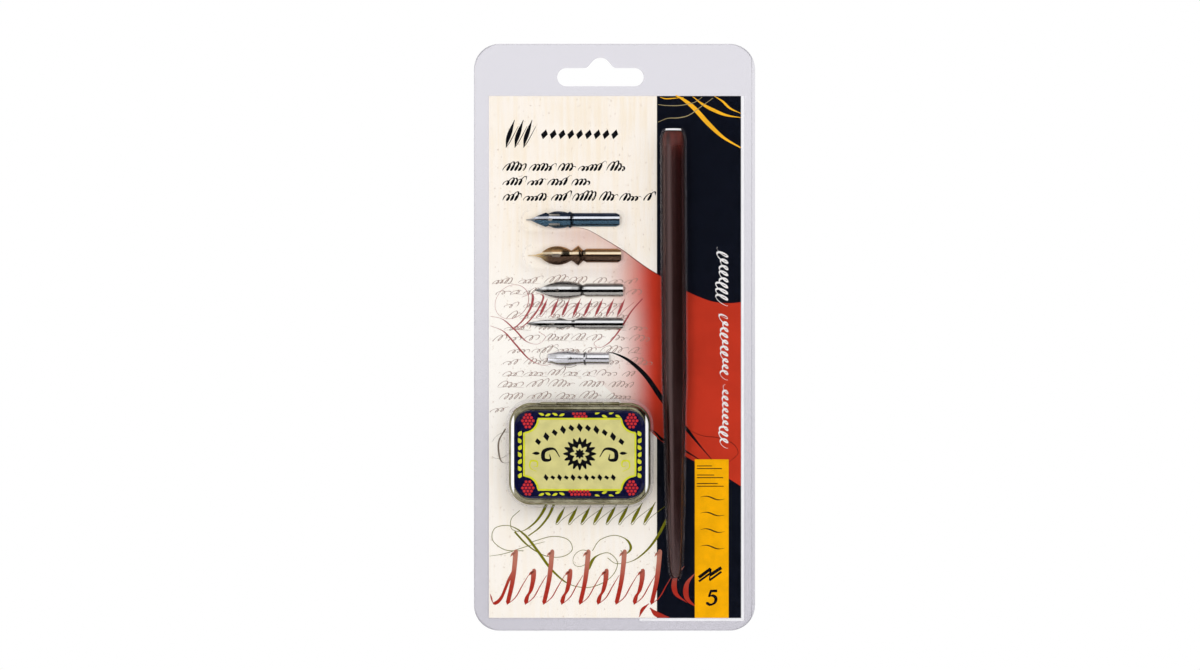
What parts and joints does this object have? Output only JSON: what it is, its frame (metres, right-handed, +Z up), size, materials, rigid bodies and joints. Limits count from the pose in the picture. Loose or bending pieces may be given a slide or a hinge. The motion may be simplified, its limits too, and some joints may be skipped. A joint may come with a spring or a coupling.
{
  "type": "calligraphy set in a clear hanging pack",
  "caption": "Hanging clear clamshell pack with a printed card, a wooden dip-pen holder, pen nibs and a hinged nib tin that opens once the pack is open.",
  "frame": {"origin": "centre of the hang slot, on the plane where the two clear shells part", "axes": "+Z up as the pack hangs, +X to the right seen from the front, and the front faces -Y"},
  "size_m": [0.1054, 0.0127, 0.2201],
  "materials": {
    "clear_plastic": "clear thermoformed plastic sheet, glossy",
    "card": "printed card, satin",
    "lacquered_wood": "dark mahogany lacquer, glossy",
    "bright_steel": "plain steel",
    "blued_steel": "heat-blued steel, glossy",
    "bronze": "bronze plated",
    "printed_tin": "printed and varnished tinplate",
    "gold_tin": "gold-lacquered tinplate"
  },
  "bodies": {
    "pack": {"back_shell": "clear_plastic", "insert_card": "card", "holder_handle": "lacquered_wood", "holder_ferrule": "bright_steel", "holder_prongs": "bright_steel", "tin_base": "gold_tin", "tin_hinge_pin": "bright_steel", "nib_blued": "blued_steel", "nib_bronze": "bronze", "nib_steel": "bright_steel", "nib_slim": "bright_steel", "nib_broad": "bright_steel"},
    "front": {"front_shell": "clear_plastic"},
    "lid": {"tin_lid": "printed_tin"}
  },
  "joints": [
    {"name": "shell_hinge", "type": "hinge", "parent": "pack", "child": "front", "pos_m": [0.05755, -0.00005, -0.09755], "axis": [0, 0, 1], "range_deg": [0, 175]},
    {"name": "tin_lid_hinge", "type": "hinge", "parent": "pack", "child": "lid", "pos_m": [-0.0077, -0.00305, -0.12245], "axis": [-1, 0, 0], "range_deg": [0, 105]}
  ],
  "couplings": [
    {"joint": "tin_lid_hinge", "follows": "shell_hinge", "ratio": 0.6}
  ]
}
